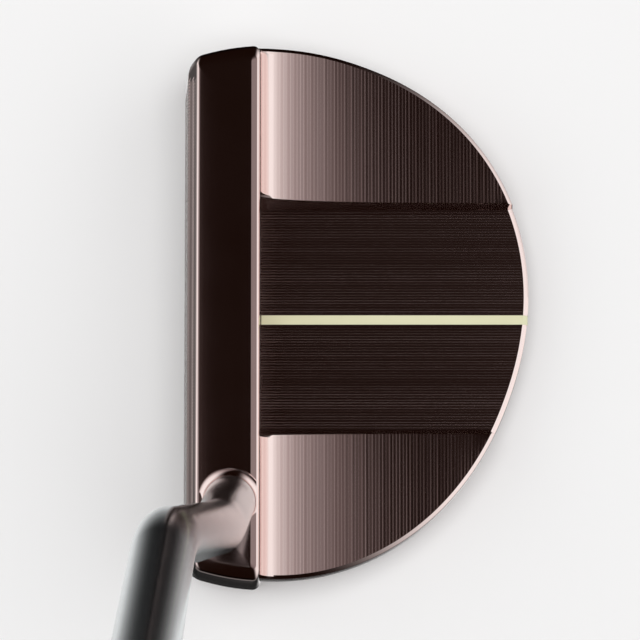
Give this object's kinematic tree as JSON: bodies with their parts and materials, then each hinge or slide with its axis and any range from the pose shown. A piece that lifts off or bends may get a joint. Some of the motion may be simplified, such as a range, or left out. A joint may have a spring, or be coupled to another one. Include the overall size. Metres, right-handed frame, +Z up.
{
  "type": "mallet putter",
  "caption": "Golf putter with a milled half-moon mallet head, a recessed channel with a painted alignment line, a double-bend steel shaft, sole weights and a pistol grip.",
  "frame": {"origin": "on the level part of the sole, under the middle of the head, with the club held at address", "axes": "+X from the striking face to the rear of the head, +Y from heel to toe, +Z up"},
  "size_m": [0.0843, 0.357, 0.8198],
  "materials": {
    "head_metal": "copper-bronze finish on milled steel, fine tool marks",
    "line_paint": "cream paint fill, satin",
    "weight_metal": "turned steel, satin",
    "washer_nylon": "matte",
    "shaft_chrome": "satin chrome",
    "adhesive": "cured epoxy",
    "cork": "natural cork",
    "band_film": "plain film",
    "tape": "cloth tape",
    "grip_rubber": "matte moulded rubber",
    "cap_plastic": "matte"
  },
  "bodies": {
    "club": {"head_body": "head_metal", "alignment_line": "line_paint", "shaft": "shaft_chrome", "shaft_epoxy": "adhesive", "tip_plug": "cork", "shaft_band": "band_film", "grip_tape": "tape", "grip": "grip_rubber", "grip_cap": "cap_plastic"},
    "heel_washer": {"heel_weight_washer": "washer_nylon"},
    "heel_screw": {"heel_weight": "weight_metal"},
    "toe_washer": {"toe_weight_washer": "washer_nylon"},
    "toe_screw": {"toe_weight": "weight_metal"}
  },
  "joints": [
    {"name": "heel_travel", "type": "slide", "parent": "club", "child": "heel_washer", "axis": [0, 0, -1], "range_m": [0, 0.006]},
    {"name": "heel_unscrew", "type": "hinge", "parent": "heel_washer", "child": "heel_screw", "pos_m": [0.002, -0.0325, 0.001], "axis": [0, 0, -1], "range_deg": [0, 2161]},
    {"name": "toe_travel", "type": "slide", "parent": "club", "child": "toe_washer", "axis": [0, 0, -1], "range_m": [0, 0.006]},
    {"name": "toe_unscrew", "type": "hinge", "parent": "toe_washer", "child": "toe_screw", "pos_m": [0.002, 0.0325, 0.001], "axis": [0, 0, -1], "range_deg": [0, 2161]}
  ],
  "couplings": [
    {"joint": "heel_unscrew", "follows": "heel_travel", "rad_per_m": 6283.2},
    {"joint": "toe_unscrew", "follows": "toe_travel", "rad_per_m": 6283.2}
  ]
}
